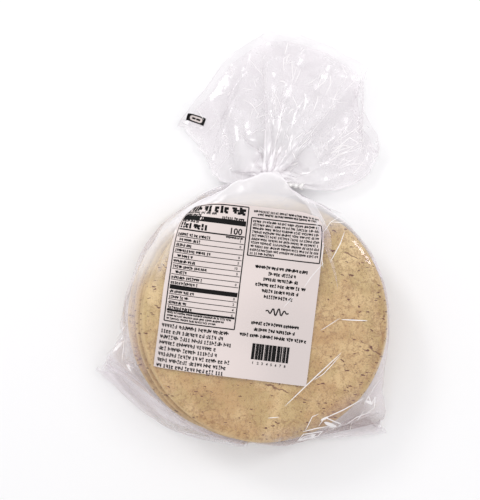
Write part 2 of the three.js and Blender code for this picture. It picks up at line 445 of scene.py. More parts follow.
# %% The crust's finish
def crust(bread, name, low, high, seed, cracks=()):
    """Gives one bread its finish, centred on it, with its own random pattern."""
    bake = Finish(name)
    where = bake.node("TexCoord", output=3)
    middle = [(low[k] + high[k]) / 2 for k in range(3)]
    centred = bake.node("Mapping", Vector=where, Location=[-m for m in middle])
    swirl = bake.node("TexNoise", output=1, Vector=centred, Scale=150, Detail=3)
    ragged = bake.blend(centred, swirl, 0.006)
    east = bake.node("SeparateXYZ", output=0, Vector=ragged) - 0.003
    north = bake.node("SeparateXYZ", output=1, Vector=ragged) - 0.003

    def cloud(scale, detail=3.0, shift=0.0):
        return bake.node(
            "TexNoise", {"noise_dimensions": "4D"}, Vector=centred, W=seed + shift,
            Scale=scale, Detail=detail, Roughness=0.6,
        )

    def crack(x0, y0, x1, y1):
        """1 on a thin ragged line between two places, in millimetres from the middle."""
        length = math.hypot(x1 - x0, y1 - y0)
        ahead_x, ahead_y = (x1 - x0) / length, (y1 - y0) / length
        right, up = east - x0 * MM, north - y0 * MM
        ahead = right * ahead_x + up * ahead_y
        beside = up * ahead_x - right * ahead_y
        ends = ahead.step(0, 5 * MM) * ahead.step(length * MM, (length - 5) * MM)
        return ends * beside.power(2).step((0.75 * MM) ** 2, (0.25 * MM) ** 2)

    spread = bake.node("VectorMath", {"operation": "LENGTH"}, output=1, Vector=centred)
    rim = spread.step(pita_radius * 0.7, pita_radius * 0.99)
    edge = spread.step(pita_radius * 0.955, pita_radius * 0.985)
    west = (north * 0.6 - east).step(0.05, 0.105)
    blotches, patches = cloud(24), cloud(60, shift=4)
    grain, dust = cloud(300, detail=5, shift=7), cloud(800, shift=11)
    fine = grain * 0.45 + dust * 0.55
    puffed = (blotches * 0.5 + patches * 0.5).step(0.42, 0.6) * 0.6
    pale = puffed + west * 0.85 + (north * 0.8 + east * 0.4).step(0.03, 0.1) * 0.75
    colour = bake.blend(CRUST_TAN, CRUST_PALE, pale.at_most(0.95))
    colour = bake.blend(colour, CRUST_GREEN, cloud(38, shift=17).step(0.46, 0.6) * 0.5)
    toasted = fine + rim * 0.03 + east.step(-0.02, 0.09) * 0.02 - west * 0.03
    colour = bake.blend(colour, CRUST_BROWN, toasted.step(0.49, 0.63) * 0.56)
    cells = bake.node("TexVoronoi", {"feature": "DISTANCE_TO_EDGE"}, Vector=ragged, Scale=120)
    veins = cells.step(0.08, 0.01) * cloud(45, shift=23).step(0.46, 0.6)
    colour = bake.blend(colour, CRUST_BROWN, veins * 0.4)
    # Paler edge: partly a pita's real pale rim, partly painted light on the rim's shaded sides.
    colour = bake.blend(colour, CRUST_PALE, edge * 0.6)
    bran = 0.0
    for scale, turn, size, share in FLECKS:
        drawn_out = bake.node("Mapping", Vector=ragged, Rotation=(0, 0, turn), Scale=(0.7, 2.5, 1))
        crumb = bake.node("TexVoronoi", {"feature": "F1"}, Vector=drawn_out, Scale=scale)
        chance = cloud(75, detail=2, shift=scale) + rim * 0.05 + east.step(0, 0.08) * 0.03
        chance = chance + west * 0.02
        bran = crumb.step(size, size * 0.7) * chance.step(share, share + 0.02) + bran
    for ends in cracks:
        bran = crack(*ends) * patches.step(0.4, 0.52) * 0.8 + bran
    bran = bran.at_most(1.0)
    colour = bake.blend(colour, BRAN, bran * 0.96)
    relief = grain * 0.5 + dust * 0.3 + patches * 0.6 - veins * 0.2 - bran * 0.25
    bump = bake.node("Bump", Strength=0.6, Distance=0.0014, Height=relief)
    bake.coat(bread, Base_Color=colour, Roughness=0.86, Specular_IOR_Level=0.25, Normal=bump)


for number, (bread, name) in enumerate(zip(breads, PITAS)):
    low, high = pita_boxes[name]
    cracks = CRACKS if name == TOP_PITA else ()
    crust(bread, "crust_" + name, low, high, 3.0 + number, cracks)
    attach(bread, "root")
    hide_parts(name)
print("nodes in the last crust:", len(breads[-1].data.materials[0].node_tree.nodes))

# %% [markdown]
# ## The film
# The bag is cut from a roll of thin clear tube: two plies joined down both sides and welded
# across the bottom. The breads go in, the tube is gathered in a bunch above them, and a tie
# holds the bunch. Wrinkles like these are hard to model by hand and come free from a cloth
# simulation: the flat tube starts at its real cut size, the stack rises inside it, and the
# bunch, the corners and the free end are led to where they lie on the plain frame.
# The solver is steadiest on things about a metre or two long, so it all runs ten times larger.

# %% The flat tube
FILM_WIDTH = 270
FILM_LENGTH = 425
CELL = 5
COLUMNS = FILM_WIDTH // CELL
ROWS = round(FILM_LENGTH / CELL)
SEAL_Y = -136
MID_HEIGHT = 24.7
NECK_LENGTH = 300
NECK_ROW = round(NECK_LENGTH / CELL)
PLY_GAP = 3.2
LARGER = 10 * MM


def tube_net(columns, rows):
    """Vertex numbers on a tube of two plies, one list a row. The seal's row is shared by both."""
    around = 2 * columns
    steps = np.arange(around)
    seal = np.minimum(steps, around - steps)
    upper = columns + 1 + np.arange(rows)[:, None] * around + steps
    return np.vstack([seal, upper])


def tube_faces(net):
    beside = np.roll(net, -1, axis=1)
    corners = (net[:-1], beside[:-1], beside[1:], net[1:])
    return np.stack(corners, axis=-1).reshape(-1, 4)


def new_mesh(name, points, faces):
    data = bpy.data.meshes.new(name)
    data.from_pydata(np.asarray(points).tolist(), [], [list(map(int, face)) for face in faces])
    piece = bpy.data.objects.new(name, data)
    bpy.context.scene.collection.objects.link(piece)
    return piece


net = tube_net(COLUMNS, ROWS)
flat_points = np.zeros((net.max() + 1, 3))
for row in range(ROWS + 1):
    along = row * FILM_LENGTH / ROWS
    for column in range(2 * COLUMNS):
        across = 1 - abs(1 - column / COLUMNS)
        side = 1 if column < COLUMNS else -1
        gap = math.sqrt(math.sin(math.pi * across)) * min(1, row / 6)
        gap *= min(1, max(0.12, (NECK_LENGTH + 7 - along) / 60))
        height = MID_HEIGHT + side * PLY_GAP * gap
        flat_points[net[row, column]] = ((across - 0.5) * FILM_WIDTH, SEAL_Y + along, height)
cloth = new_mesh("film_cloth", flat_points * LARGER, tube_faces(net))
print("flat tube, in mm:", FILM_WIDTH, "x", FILM_LENGTH, "with", len(flat_points), "points")

# %% What it wraps: a plain block for the stack, and the table
STACK_RADIUS = 101
STACK_LOW = 1.5
STACK_HIGH = 48.5
STACK_LEAN = 13
STACK_ROUNDING = 4.5
LAST_FRAME = 80


def wrapped(piece):
    """Makes a piece solid to the cloth."""
    piece.modifiers.new("solid", "COLLISION")
    piece.collision.thickness_outer = 1 * LARGER
    piece.collision.thickness_inner = 2 * LARGER
    piece.collision.cloth_friction = 5
    piece.collision.damping = 0.5
    return piece


stack_depth = STACK_HIGH - STACK_LOW
bpy.ops.mesh.primitive_cylinder_add(
    vertices=96, radius=STACK_RADIUS * LARGER, depth=stack_depth * LARGER
)
block = bpy.context.active_object
rounding = block.modifiers.new("rounding", "BEVEL")
rounding.width = STACK_ROUNDING * LARGER
rounding.segments = 3
bpy.ops.object.modifier_apply(modifier="rounding")
leaning = points_of(block)
leaning[:, 2] += (STACK_LOW + stack_depth / 2 - MID_HEIGHT) * LARGER
share_up = leaning[:, 2] / (stack_depth * LARGER) + 0.5
leaning[:, 0] -= STACK_LEAN * LARGER * (1 - share_up)
set_points(block, leaning)
block.location.z = MID_HEIGHT * LARGER
for frame_number, height in ((1, 0.05), (2, 0.05), (28, 1.0)):
    block.scale = (1, 1, height)
    block.keyframe_insert("scale", frame=frame_number)
bpy.ops.mesh.primitive_plane_add(size=700 * LARGER, location=(0, 30 * LARGER, 0))
table = bpy.context.active_object
solids = [wrapped(block), wrapped(table)]
print("stack inside the cloth, in mm:", 2 * STACK_RADIUS, "wide and", stack_depth, "high")

# %% Where the bunch, the corners, the side folds and the free end are led
NECK = (-13, 112, 10.5)
PLEATS = 14
PLEAT_INSIDE = 2.7
PLEAT_DEPTH = 5.5
SEAL_LINE = (
    (-133.5, -63.5), (-90, -90), (-65, -98), (-48, -100), (40, -99), (70, -92), (92, -87),
    (115, -82),
)
SEAL_HEIGHT = 5
LEFT_FOLD = (
    (15, -132, -58), (30, -131.5, -53), (60, -128, -42), (85, -124, -31), (105, -119.5, -19),
    (125, -115, -4), (145, -111.5, 12), (170, -105, 36), (197, -94.5, 60), (220, -82, 79),
    (247, -57, 98), (262, -45, 103), (280, -28, 110),
)
RIGHT_FOLD = (
    (15, 114, -77), (30, 112.5, -71), (60, 109, -57), (90, 106.5, -40), (112, 105, -26),
    (130, 102, -10), (145, 99, 3), (171, 93, 29.5), (195, 84, 53), (212, 73, 68),
    (228, 59, 82), (248, 38, 95.5), (268, 18, 107), (283, 4, 111),
)
FREE_END = (
    (-94, 148), (-77, 178), (-57, 213), (-29, 237), (0, 237), (20, 232), (57, 217),
    (51, 204), (51, 190), (60, 176), (72, 163), (76, 148),
)
RIGHT_LOBE = ((76, 148), (79, 130), (74, 117), (56, 111), (35, 111), (20, 109), (-4, 111))
LEFT_LOBE = ((-94, 148), (-46, 103), (-24, 110))
EAR_LENGTH = 110
FOLD_HEIGHT = 15
FILM_SHIFT_X = 3
FILM_SHIFT_Y = 142
led = {}
print("corners of the lines that lead the folds:", len(LEFT_FOLD) + len(RIGHT_FOLD))


# %% What is led, and how firmly
def lead(across, ply, row, place, hold=1.0):
    """Holds the point at a share of the width, on the top or the bottom ply, at a place."""
    column = round(across * COLUMNS)
    column = column if ply == "top" else -column
    led[int(net[row, column])] = (place, hold)


def distances(corners):
    """How far along its line each corner lies."""
    lengths = np.linalg.norm(np.diff(corners, axis=0), axis=1)
    return np.concatenate([[0], np.cumsum(lengths)])


def along_line(line, share):
    """The point at a share of the way along a line."""
    corners = np.array(line, float)
    ends = distances(corners)
    return [float(np.interp(share * ends[-1], ends, corners[:, axis])) for axis in (0, 1)]


for row in (NECK_ROW - 1, NECK_ROW, NECK_ROW + 1):
    for column in range(2 * COLUMNS):
        share = column / (2 * COLUMNS)
        turn = math.pi - 2 * math.pi * share
        pleat = 1 - abs(1 - (share * 2 * PLEATS) % 2)
        reach = PLEAT_INSIDE + PLEAT_DEPTH * pleat
        place = (
            NECK[0] + reach * math.cos(turn), NECK[1] + (row - NECK_ROW) * CELL,
            NECK[2] + reach * math.sin(turn),
        )
        led[int(net[row, column])] = (place, 1.0)
for column in range(COLUMNS + 1):
    share = column / COLUMNS
    lead(share, "top", 0, (*along_line(SEAL_LINE, share), SEAL_HEIGHT))
lead(0, "top", 1, (-131.5, -59.5, 8))
lead(1, "top", 1, (113.5, -77, 8))
for row in range(1, NECK_ROW):
    for column in range(1, COLUMNS):
        x = (column / COLUMNS - 0.5) * FILM_WIDTH - FILM_SHIFT_X
        y = row * FILM_LENGTH / ROWS - FILM_SHIFT_Y
        hold = min(1, max(0, (96 - math.hypot(x, y)) / 40)) ** 1.5
        hold *= min(1, max(0, (80 - y) / 30))
        inside = min(x + 90, 58 - x, y + 56, 96 - y, 104 - math.hypot(x, y))
        hold = max(hold, min(0.95, max(0, inside / 8)))
        to_neck = math.hypot(x - NECK[0], NECK[1] - y) + 22
        spare = NECK_LENGTH - row * FILM_LENGTH / ROWS - to_neck
        hold *= min(1, max(0, (spare + 26) / 22))
        if hold > 0.05:
            led[int(net[row, column])] = ((x, y, 50), hold)
for across, fold in ((0, LEFT_FOLD), (1, RIGHT_FOLD)):
    for along, x, y in fold:
        hold = 0.92 if along < EAR_LENGTH else 0.75
        lead(across, "top", round(along / CELL), (x, y, FOLD_HEIGHT), hold)
for row in range(NECK_ROW + 3, ROWS):
    share = (ROWS - row) / (ROWS - NECK_ROW)
    lead(1, "top", row, (*along_line(RIGHT_LOBE, share), 6), 0.95)
    lead(0, "top", row, (*along_line(LEFT_LOBE, share), 5), 0.95)
for column in range(COLUMNS + 1):
    share = column / COLUMNS
    x, y = along_line(FREE_END, share)
    if column in (0, COLUMNS):
        lead(share, "top", ROWS, (x, y, 7))
        continue
    lead(share, "top", ROWS, (x, y, 13 + 5 * math.sin(3 * math.pi * share)), 1.0)
    x, y = (NECK[k] + 0.95 * (value - NECK[k]) for k, value in enumerate((x, y)))
    lead(share, "bottom", ROWS, (x, y, 3), 0.9)
print("points of the cloth that are led:", len(led), "of", len(flat_points))

# %% The simulation
cloth.shape_key_add(name="flat")
gathered = cloth.shape_key_add(name="gathered")
holds = cloth.vertex_groups.new(name="holds")
led_points = flat_points.copy()
for number, (place, hold) in led.items():
    led_points[number] = place
    holds.add([number], hold, "REPLACE")
gathered.data.foreach_set("co", (led_points * LARGER).ravel())
for frame_number, value in ((4, 0.0), (44, 1.0)):
    gathered.value = value
    gathered.keyframe_insert("value", frame=frame_number)
solver = cloth.modifiers.new("cloth", "CLOTH")
solver.point_cache.frame_end = LAST_FRAME
FILM_FEEL = {
    "quality": 6, "mass": 0.2, "air_damping": 2.5, "tension_stiffness": 40,
    "compression_stiffness": 40, "shear_stiffness": 15, "bending_stiffness": 1.2,
    "tension_damping": 10, "compression_damping": 10, "shear_damping": 10,
    "bending_damping": 0.5, "vertex_group_mass": "holds", "pin_stiffness": 1.0,
}
for name, value in FILM_FEEL.items():
    setattr(solver.settings, name, value)
solver.settings.effector_weights.gravity = 0.5
solver.collision_settings.distance_min = 1 * LARGER
solver.collision_settings.collision_quality = 3


def run_cloth(piece):
    """Plays the simulation to its last frame and gives the points, in millimetres."""
    scene = bpy.context.scene
    scene.frame_start, scene.frame_end = 1, LAST_FRAME
    for frame_number in range(1, LAST_FRAME + 1):
        scene.frame_set(frame_number)
    shaped = piece.evaluated_get(bpy.context.evaluated_depsgraph_get())
    points = points_of(shaped) / LARGER
    scene.frame_set(1)
    return points


settled = run_cloth(cloth)
for piece in (cloth, *solids):
    bpy.data.objects.remove(piece)
print("settled film, in mm:", settled.min(axis=0).round(), settled.max(axis=0).round())

# %% [markdown]
# ## From cloth to film
# Cloth gives the large folds. Film is stiffer than cloth: it also breaks into small flat
# facets with sharp creases between them. The settled points become a net three times finer,
# the loose folds over the stack are pressed down as handling does, and then facets are added,
# strong at the free end and in the crumpled corner, and faint over the breads. Last, the film
# is lifted clear of the breads, and kept on its own side of the seal.

# %% A finer net
FINER = 3
NET_COLUMNS = COLUMNS * FINER
NET_ROWS = ROWS * FINER


def between(points, closed):
    """Adds points between points, down the first axis, on smooth curves through them all."""
    if closed:
        before, after = np.roll(points, 1, axis=0), np.roll(points, -1, axis=0)
        last = np.roll(points, -2, axis=0)
        first = points
    else:
        ends = (2 * points[:1] - points[1:2], 2 * points[-1:] - points[-2:-1])
        padded = np.concatenate([ends[0], points, ends[1]])
        before, first, after, last = padded[:-3], padded[1:-2], padded[2:-1], padded[3:]
    parts = []
    for step in range(FINER):
        t = step / FINER
        curve = 2 * first + (after - before) * t
        curve += (2 * before - 5 * first + 4 * after - last) * t**2
        curve += (3 * first - before - 3 * after + last) * t**3
        parts.append(curve / 2)
    finer = np.stack(parts, axis=1).reshape(-1, *points.shape[1:])
    return finer if closed else np.concatenate([finer, points[-1:]])


film = between(settled[net], closed=False)
film = between(film.transpose(1, 0, 2), closed=True).transpose(1, 0, 2)
steps_around = np.arange(2 * NET_COLUMNS)
around_mm = np.tile(steps_around * FILM_WIDTH / NET_COLUMNS, (NET_ROWS + 1, 1))
along_mm = np.tile(
    np.arange(NET_ROWS + 1)[:, None] * FILM_LENGTH / NET_ROWS, (1, 2 * NET_COLUMNS)
)
on_top = (steps_around > 0) & (steps_around < NET_COLUMNS)
print("film net:", film.shape[0], "rows of", film.shape[1])


# %% Facets and creases
def smooth_share(values, start, end):
    t = np.clip((values - start) / (end - start), 0, 1)
    return t * t * (3 - 2 * t)


def band(values, *ends):
    """1 between the two inner ones of four ends, and 0 outside the outer ones."""
    return smooth_share(values, *ends[:2]) * (1 - smooth_share(values, *ends[2:]))


def facets(size, seed, sides=4):
    """Flat-sided dents with sharp creases between them, 0 to 1, about a size apart."""
    draw = np.random.default_rng(seed)
    count = round(2 * FILM_WIDTH / size)
    rows = round(FILM_LENGTH / size) + 3
    size = 2 * FILM_WIDTH / count
    jitter = draw.uniform(0.1, 0.9, (rows, count, 2))
    turns = draw.uniform(0, 2 * math.pi, (rows, count))
    floors = draw.uniform(0, 0.5, (rows, count))
    x, y = around_mm / size, along_mm / size
    cell_x, cell_y = np.floor(x).astype(int), np.floor(y).astype(int)
    height = np.full(x.shape, 9.0)
    for down in (-1, 0, 1):
        for right in (-1, 0, 1):
            near_x, near_y = cell_x + right, np.clip(cell_y + down, 0, rows - 1)
            pick = (near_y, near_x % count)
            away_x = x - near_x - jitter[pick][..., 0]
            away_y = y - (cell_y + down) - jitter[pick][..., 1]
            slope = np.full(x.shape, -9.0)
            for side in range(sides):
                turn = turns[pick] + 2 * math.pi * (side + 0.3 * np.sin(7 * turns[pick])) / sides
                slope = np.maximum(slope, away_x * np.cos(turn) + away_y * np.sin(turn))
            height = np.minimum(height, floors[pick] + slope)
    return height / height.max()


def outward(points):
    """The direction out of the film at each point of the net."""
    across = np.roll(points, -1, axis=1) - np.roll(points, 1, axis=1)
    along = np.gradient(points, axis=0)
    across[0], along[0] = across[1], along[1]
    normal = np.cross(across, along)
    return normal / np.maximum(np.linalg.norm(normal, axis=-1, keepdims=True), 1e-9)


print("mean height of large facets:", round(float(facets(34, 3).mean()), 2))

# %% Which part of the film is where
PRESSED_ABOVE = 50.0
PRESSED_SHARE = 0.12
film[..., 2] = np.where(
    film[..., 2] > PRESSED_ABOVE,
    PRESSED_ABOVE + (film[..., 2] - PRESSED_ABOVE) * PRESSED_SHARE, film[..., 2],
)
reach = np.hypot(film[..., 0], film[..., 1])
bearing = np.degrees(np.arctan2(film[..., 1], film[..., 0]))
body = 1 - smooth_share(along_mm, NECK_LENGTH - 28, NECK_LENGTH - 10)
free = smooth_share(along_mm, NECK_LENGTH + 7, NECK_LENGTH + 27)
over_bread = on_top * body * (1 - smooth_share(reach, 84, 98))
under_bread = ~on_top * body * (1 - smooth_share(film[..., 2], 4, 12))
flank = body * (1 - over_bread) * (1 - under_bread) * smooth_share(along_mm, 0, 12)
# The crumpled lower right corner: its small facets are real, and the film's finish paints shade on
# it.
crumpled_and_painted_shade = flank * band(bearing, -90, -75, -40, -25)
for name, share in (("over the breads", over_bread), ("free end", free), ("crumpled", crumpled_and_painted_shade)):
    print("share of the film,", name + ":", round(float(share.mean()), 3))

# %% Smoothing and bending
SMOOTHING_TURNS = 40
FLATTENING_TURNS = 110
away_from_neck = 1 - smooth_share(along_mm, NECK_LENGTH - 60, NECK_LENGTH - 25)
to_fold = np.minimum(around_mm, 2 * FILM_WIDTH - around_mm)
to_fold = np.minimum(to_fold, np.abs(around_mm - FILM_WIDTH))
off_fold = smooth_share(to_fold, 0, 14)
smoothed = flank * away_from_neck * (0.35 + 0.65 * off_fold)
smoothed += 0.45 * free * off_fold + 0.3 * over_bread
smoothed[-2:] = 0
flattened = smooth_share(along_mm, NECK_LENGTH + 10, NECK_LENGTH + 42)
flattened[-2:] = 0
right_lobe = free * band(around_mm, 130, 190, 330, 380)
bend = facets(34, 3) * (5.4 * free + 0.8 * flank + 0.15 * over_bread)
bend += facets(14, 4) * (
    0.4 * free + 0.6 * right_lobe + 0.2 * flank + 1.6 * crumpled_and_painted_shade + 0.06 * over_bread
)
bend += facets(6, 8) * (0.06 * free + 0.08 * right_lobe + 0.06 * flank + 0.5 * crumpled_and_painted_shade)
gather = on_top * band(along_mm - NECK_LENGTH, -75, -40, -14, -4)
bend += gather * (facets(22, 11) * 2.2 + facets(9, 12) * 0.5 - 0.8)
bend -= free * 2.7
bend *= 1 - 0.7 * free * (1 - smooth_share(to_fold, 0, 12))


def neighbours(values):
    """The mean of the four points beside each one of the net."""
    return sum(np.roll(values, step, axis=axis) for step in (1, -1) for axis in (0, 1)) / 4


for _ in range(SMOOTHING_TURNS):
    film = film + (neighbours(film) - film) * (smoothed * 0.9)[..., None]
for _ in range(FLATTENING_TURNS):
    film[..., 2] += (neighbours(film[..., 2]) - film[..., 2]) * flattened * 0.9
direction = outward(film)
film = film + direction * bend[..., None]
seal_x, seal_y = np.array(SEAL_LINE).T
past_seal = np.maximum(0, np.interp(film[..., 0], seal_x, seal_y) - film[..., 1])
past_seal *= film[..., 0] > 0
film[..., 1] += past_seal
film[..., 2] = np.maximum(film[..., 2], 0.15)
print("film held back from beyond the seal by up to, in mm:", round(float(past_seal.max()), 1))

# %% Clear of the breads
bread_points = np.concatenate([points_of(bread) for bread in breads])
bread_faces, count = [], 0
for bread in breads:
    bread_faces += [[count + v for v in face.vertices] for face in bread.data.polygons]
    count += len(bread.data.vertices)
bread_surface = BVHTree.FromPolygons(bread_points.tolist(), bread_faces)
CLEARANCE = 0.7
lift = np.zeros(reach.shape)
for row, column in np.argwhere(on_top & (film[..., 2] > 20) & (reach < 120)):
    x, y, z = film[row, column]
    hit = bread_surface.ray_cast(at_stack(x, y, 100), (0, 0, -1))[0]
    if hit is not None:
        lift[row, column] = max(0, hit.z / MM + CLEARANCE - z)
for _ in range(4):
    lift = np.maximum(lift, neighbours(lift))
film[..., 2] += lift
print("film lifted clear of the breads by up to, in mm:", round(float(lift.max()), 2))
film[0, NET_COLUMNS + 1:] = film[0, NET_COLUMNS - 1:0:-1]

# %% Where it whitens
sharpness = np.zeros(reach.shape)
for axis in (0, 1):
    turned = np.roll(film, 1, axis=axis) + np.roll(film, -1, axis=axis) - 2 * film
    sharpness += np.linalg.norm(turned, axis=-1)
sharpness[[0, 1, -2, -1]] = 0
# White at sharp creases: partly the film's real whiteness at a fold, partly painted highlights.
whitening_and_painted_glints = np.clip((sharpness - 0.35) / 1.1, 0, 1) * (1 - 0.6 * over_bread)
print("creased share of the film:", round(float((whitening_and_painted_glints > 0.3).mean()), 3))

# %% The film as one piece
UNWRAPPED = 600


def to_row(points):
    """Millimetres from the top pita's centre to metres in the shared frame."""
    return np.asarray(points) * MM + np.array([stack_x, stack_y, 0.0])


fine_net = tube_net(NET_COLUMNS, NET_ROWS)
film_points = np.zeros((fine_net.max() + 1, 3))
film_points[fine_net[::-1]] = film[::-1]
bag = new_mesh("bag_film", to_row(film_points), tube_faces(fine_net))
start_u = np.tile(steps_around, NET_ROWS)[:, None] + np.array([0, 1, 1, 0])
start_v = np.repeat(np.arange(NET_ROWS), 2 * NET_COLUMNS)[:, None] + np.array([0, 0, 1, 1])
flat_map = bag.data.uv_layers.new(name="flat_film")
corners = np.stack(
    [start_u * FILM_WIDTH / NET_COLUMNS, start_v * FILM_LENGTH / NET_ROWS], axis=-1
)
flat_map.data.foreach_set("uv", (corners / UNWRAPPED).ravel())
from_neck = along_mm - NECK_LENGTH
shoulder = smooth_share(from_neck, -88, -64) * (from_neck < 0)
steep = 1 - np.abs(outward(film)[..., 2])
neck_reach = np.where(from_neck > 0, 24, 13)
# The cloudy share: the film's real haze where plies gather, in the bunch and at the free end, plus
# painted light.
haze_plus_painted_light = 0.85 * np.exp(-((from_neck / neck_reach) ** 2)) + 0.22 * np.exp(-np.abs(from_neck) / 38)
ear = flank * smooth_share(reach, 103, 112) * (1 - smooth_share(film[..., 1], 20, 60))
upper_left = smooth_share(reach, 84, 98) * band(bearing, 70, 95, 158, 176)
# Shoulder: part real haze, part painted light out of shade. Steep flanks: painted glare.
haze_plus_painted_light += 0.33 * shoulder * on_top + 0.2 * free + 0.03 * flank + 0.12 * flank * steep
# Painted glare on the steep film between the breads and the bunch.
haze_plus_painted_light += 0.3 * steep * smooth_share(from_neck, -130, -60) * (from_neck < 0)
# Ear: real haze. Upper left: painted glare. Crumpled corner: clouded to carry its painted shade.
haze_plus_painted_light += 0.1 * ear + 0.24 * upper_left * on_top * body + 0.16 * crumpled_and_painted_shade
for name, values in (("whitening_and_painted_glints", whitening_and_painted_glints), ("haze_and_painted_light", haze_plus_painted_light), ("shading", crumpled_and_painted_shade)):
    layer = bag.data.attributes.new(name, "FLOAT", "POINT")
    spread = np.zeros(len(film_points))
    spread[fine_net] = values
    layer.data.foreach_set("value", spread)
only(bag)
bpy.ops.object.shade_smooth_by_angle(angle=math.radians(32))
print("film triangles:", 2 * len(bag.data.polygons))

# %% [markdown]
# ## The film's finish
# Clear film shows in two ways. It mirrors the room, more towards its edges and folds, and it
# whitens at its creases, at the seal and in the bunch, where many plies lie together. At the
# creases the white is partly real, as film whitens at a sharp fold, and partly painted
# highlights. The cloudy share also holds painted light: a painted glare on steep sides and at
# the upper left, and painted light that lifts the shoulder below the bunch out of its shade.
# The finish is a white surface that is mostly see-through: its Alpha is the mirrored share plus
# the cloudy share, and its Metallic says which of the two a point shows. The crumpled corner is
# tinted darker, a painted shade where the breads shadow it.

# %% Clear film
film_finish = Finish("clear_film")
# Crease white is partly real and partly painted highlights; the cloudy share holds painted light
# too.
crease_whitening_and_glints = film_finish.node("Attribute", {"attribute_name": "whitening_and_painted_glints"}, output=2)
cloud = film_finish.node("Attribute", {"attribute_name": "haze_and_painted_light"}, output=2)
white_share = (cloud + crease_whitening_and_glints).step(0.08, 0.3)
# Painted shade: the crumpled corner is tinted darker mauve below, where the breads shadow it.
painted_shade_share = film_finish.node("Attribute", {"attribute_name": "shading"}, output=2)
tint = film_finish.blend(sight(230, 218, 226), sight(252, 249, 251), white_share)
tint = film_finish.blend(tint, sight(190, 172, 174), painted_shade_share * (1 - crease_whitening_and_glints) * 0.8)
flat_place = film_finish.node("UVMap", {"uv_map": "flat_film"})
ripple = film_finish.node("TexNoise", Vector=flat_place, Scale=60, Detail=3)
facing = film_finish.node("LayerWeight", output=1, Blend=0.5)
mirrored = facing.power(2.5) * 0.6 + 0.065
haze_and_painted_light = cloud + crease_whitening_and_glints * 0.38 + 0.01
covering = (mirrored + haze_and_painted_light).at_most(0.97)
bump = film_finish.node("Bump", Strength=0.25, Distance=0.002, Height=ripple)
film_finish.coat(
    bag, Base_Color=tint, Roughness=crease_whitening_and_glints * 0.1 + cloud * 0.3 + 0.09,
    Metallic=covering.power(-1) * mirrored, Alpha=covering, Normal=bump,
)
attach(bag, "root")
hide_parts("film_bag")
print("nodes in the film's finish:", len(film_finish.tree.nodes))

# %% [markdown]
# ## The print
# A white panel is printed on the film with a black table, notes and bars on it. Ink is part of
# the film, so the panel and the strokes are laid out flat and then carried onto the settled
# film, just under its face. The strokes are only marks in the shape of lines of type: they
# spell nothing, and the only figures are plain numbers.


# %% A sheet laid on the film
def on_film(across, along, depth):
    """Points under the top ply, from places on the flat film in millimetres."""
    u = np.clip(np.asarray(across, float) / FILM_WIDTH, 0, 0.9999) * NET_COLUMNS
    v = np.clip(np.asarray(along, float) / FILM_LENGTH, 0, 0.9999) * NET_ROWS
    i, j = u.astype(int), v.astype(int)
    right, up = (u - i)[..., None], (v - j)[..., None]

    def mixed(values):
        low = values[j, i] * (1 - right) + values[j, i + 1] * right
        high = values[j + 1, i] * (1 - right) + values[j + 1, i + 1] * right
        return low * (1 - up) + high * up

    return mixed(film) - mixed(film_normals) * depth


film_normals = outward(film)
PANEL_WIDTH = 123
PANEL_HEIGHT = 138
PANEL_X = -85.5
PANEL_Y = 88
PANEL_TURN = math.radians(1.0)
PANEL_DEPTH = -0.1
INK_DEPTH = -0.2


def on_panel(x, y, depth):
    """Points on the panel, from its top left corner: x to the right and y down, in mm."""
    across = PANEL_X + x * math.cos(PANEL_TURN) + y * math.sin(PANEL_TURN)
    up = PANEL_Y + x * math.sin(PANEL_TURN) - y * math.cos(PANEL_TURN)
    return on_film(across + FILM_SHIFT_X + FILM_WIDTH / 2, up + FILM_SHIFT_Y, depth)


panel, spots = flat_grid("print_panel", PANEL_WIDTH, PANEL_HEIGHT)
spots += 0.5
set_points(panel, to_row(
    on_panel(spots[:, 0] * PANEL_WIDTH, (1 - spots[:, 1]) * PANEL_HEIGHT, PANEL_DEPTH)
))
only(panel)
bpy.ops.object.shade_smooth()
white_ink = Finish("white_ink")
tone = white_ink.node("TexCoord", output=3)
drift = white_ink.node("TexNoise", Vector=tone, Scale=9, Detail=1).step(0.35, 0.65)
paper_white = white_ink.blend(sight(231, 218, 214), sight(214, 203, 200), drift)
white_ink.coat(panel, Roughness=0.3, Alpha=0.97, Base_Color=paper_white)
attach(panel, "root")
print("panel faces:", len(panel.data.polygons))

# %% Strokes
STROKE_STEP = 2.0
INK_SPREAD = 1.8
ink_x, ink_y = [], []


def stroke(x0, y0, x1, y1, weight):
    """One inked line on the panel, cut into short pieces so that it follows the film."""
    weight *= INK_SPREAD
    length = math.hypot(x1 - x0, y1 - y0)
    pieces = max(1, math.ceil(length / STROKE_STEP))
    side_x, side_y = -(y1 - y0) / length * weight / 2, (x1 - x0) / length * weight / 2
    for piece in range(pieces):
        for share, side in ((piece, 1), (piece + 1, 1), (piece + 1, -1), (piece, -1)):
            ink_x.append(x0 + (x1 - x0) * share / pieces + side * side_x)
            ink_y.append(y0 + (y1 - y0) * share / pieces + side * side_y)


def box_lines(x0, y0, x1, y1, weight):
    for ends in ((x0, y0, x1, y0), (x1, y0, x1, y1), (x1, y1, x0, y1), (x0, y1, x0, y0)):
        stroke(*ends, weight)


